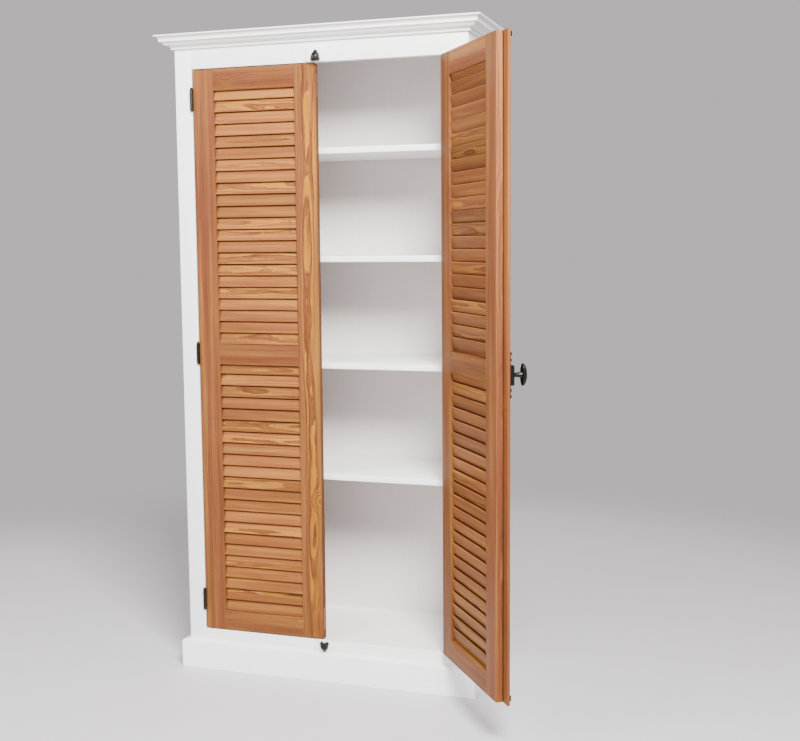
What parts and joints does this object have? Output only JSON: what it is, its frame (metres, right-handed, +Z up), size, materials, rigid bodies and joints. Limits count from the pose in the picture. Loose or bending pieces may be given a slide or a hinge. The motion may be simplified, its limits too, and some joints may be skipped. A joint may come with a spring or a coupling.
{
  "type": "louvred door cabinet",
  "caption": "Tall cabinet with a painted frame, cornice and plinth, inner shelves, and hinged louvred wood doors closed by a surface bolt with an oval knob.",
  "frame": {"origin": "on the floor, at the middle of the carcass's footprint, on the underside of the centre bearer", "axes": "+Z up; the doors and the front face -Y; +X to the right as seen from the front"},
  "size_m": [1.1911, 0.7029, 1.95],
  "materials": {
    "white_painted_wood": "satin white paint over wood",
    "stained_pine": "warm honey-brown stained pine with a satin varnish",
    "black_iron": "near-black coated ironwork, soft gloss",
    "steel": "plain bright steel"
  },
  "bodies": {
    "carcass": {"side_panel_left": "white_painted_wood", "side_panel_right": "white_painted_wood", "top_panel": "white_painted_wood", "floor_panel": "white_painted_wood", "back_panel": "white_painted_wood", "shelf_1": "white_painted_wood", "shelf_2": "white_painted_wood", "shelf_3": "white_painted_wood", "shelf_4": "white_painted_wood", "shelf_pins": "steel", "face_frame_stile_left": "white_painted_wood", "face_frame_stile_right": "white_painted_wood", "face_frame_head_rail": "white_painted_wood", "face_frame_bottom_rail": "white_painted_wood", "cornice_front": "white_painted_wood", "cornice_left": "white_painted_wood", "cornice_right": "white_painted_wood", "plinth_front": "white_painted_wood", "plinth_left": "white_painted_wood", "plinth_right": "white_painted_wood", "rear_bearer": "white_painted_wood", "centre_bearer": "white_painted_wood", "keeper_block_top": "white_painted_wood", "keeper_block_bottom": "white_painted_wood", "keeper_top": "black_iron", "keeper_bottom": "black_iron", "keeper_screws": "steel", "strike_plates": "steel", "frame_hinge_leaves": "black_iron", "hinge_pins": "black_iron", "frame_hinge_screws": "steel"},
    "left_door": {"left_hinge_stile": "stained_pine", "left_meeting_stile": "stained_pine", "left_top_rail": "stained_pine", "left_middle_rail": "stained_pine", "left_bottom_rail": "stained_pine", "left_upper_slats": "stained_pine", "left_lower_slats": "stained_pine", "left_hinge_leaves": "black_iron", "left_hinge_screws": "steel", "flush_bolt_plates": "steel"},
    "flush_bolt_upper": {"flush_bolt_upper": "steel"},
    "flush_bolt_lower": {"flush_bolt_lower": "steel"},
    "right_door": {"right_hinge_stile": "stained_pine", "right_meeting_stile": "stained_pine", "right_top_rail": "stained_pine", "right_middle_rail": "stained_pine", "right_bottom_rail": "stained_pine", "right_upper_slats": "stained_pine", "right_lower_slats": "stained_pine", "right_hinge_leaves": "black_iron", "right_hinge_screws": "steel", "cover_strip": "stained_pine", "lock_case": "black_iron", "rod_guides": "black_iron", "bolt_screws": "steel"},
    "knob": {"knob": "black_iron"},
    "upper_rod": {"upper_rod": "black_iron"},
    "lower_rod": {"lower_rod": "black_iron"}
  },
  "joints": [
    {"name": "left_door_hinge", "type": "hinge", "parent": "carcass", "child": "left_door", "pos_m": [-0.401, -0.1803, 0.996], "axis": [0, 0, -1], "range_deg": [0, 135]},
    {"name": "flush_bolt_upper_slide", "type": "slide", "parent": "left_door", "child": "flush_bolt_upper", "axis": [0, 0, 1], "range_m": [0, 0.012]},
    {"name": "flush_bolt_lower_slide", "type": "slide", "parent": "left_door", "child": "flush_bolt_lower", "axis": [0, 0, -1], "range_m": [0, 0.012]},
    {"name": "right_door_hinge", "type": "hinge", "parent": "carcass", "child": "right_door", "pos_m": [0.401, -0.1803, 0.996], "axis": [0, 0, 1], "range_deg": [-126.4, 8.6]},
    {"name": "knob_turn", "type": "hinge", "parent": "right_door", "child": "knob", "pos_m": [0.65304, -0.48896, 0.99], "axis": [-0.8049, -0.5934, 0], "range_deg": [0, 90]},
    {"name": "upper_rod_slide", "type": "slide", "parent": "right_door", "child": "upper_rod", "axis": [0, 0, 1], "range_m": [0, 0.012]},
    {"name": "lower_rod_slide", "type": "slide", "parent": "right_door", "child": "lower_rod", "axis": [0, 0, -1], "range_m": [0, 0.012]}
  ],
  "couplings": [
    {"joint": "knob_turn", "follows": "upper_rod_slide", "rad_per_m": 130.9},
    {"joint": "lower_rod_slide", "follows": "upper_rod_slide", "ratio": 1}
  ]
}
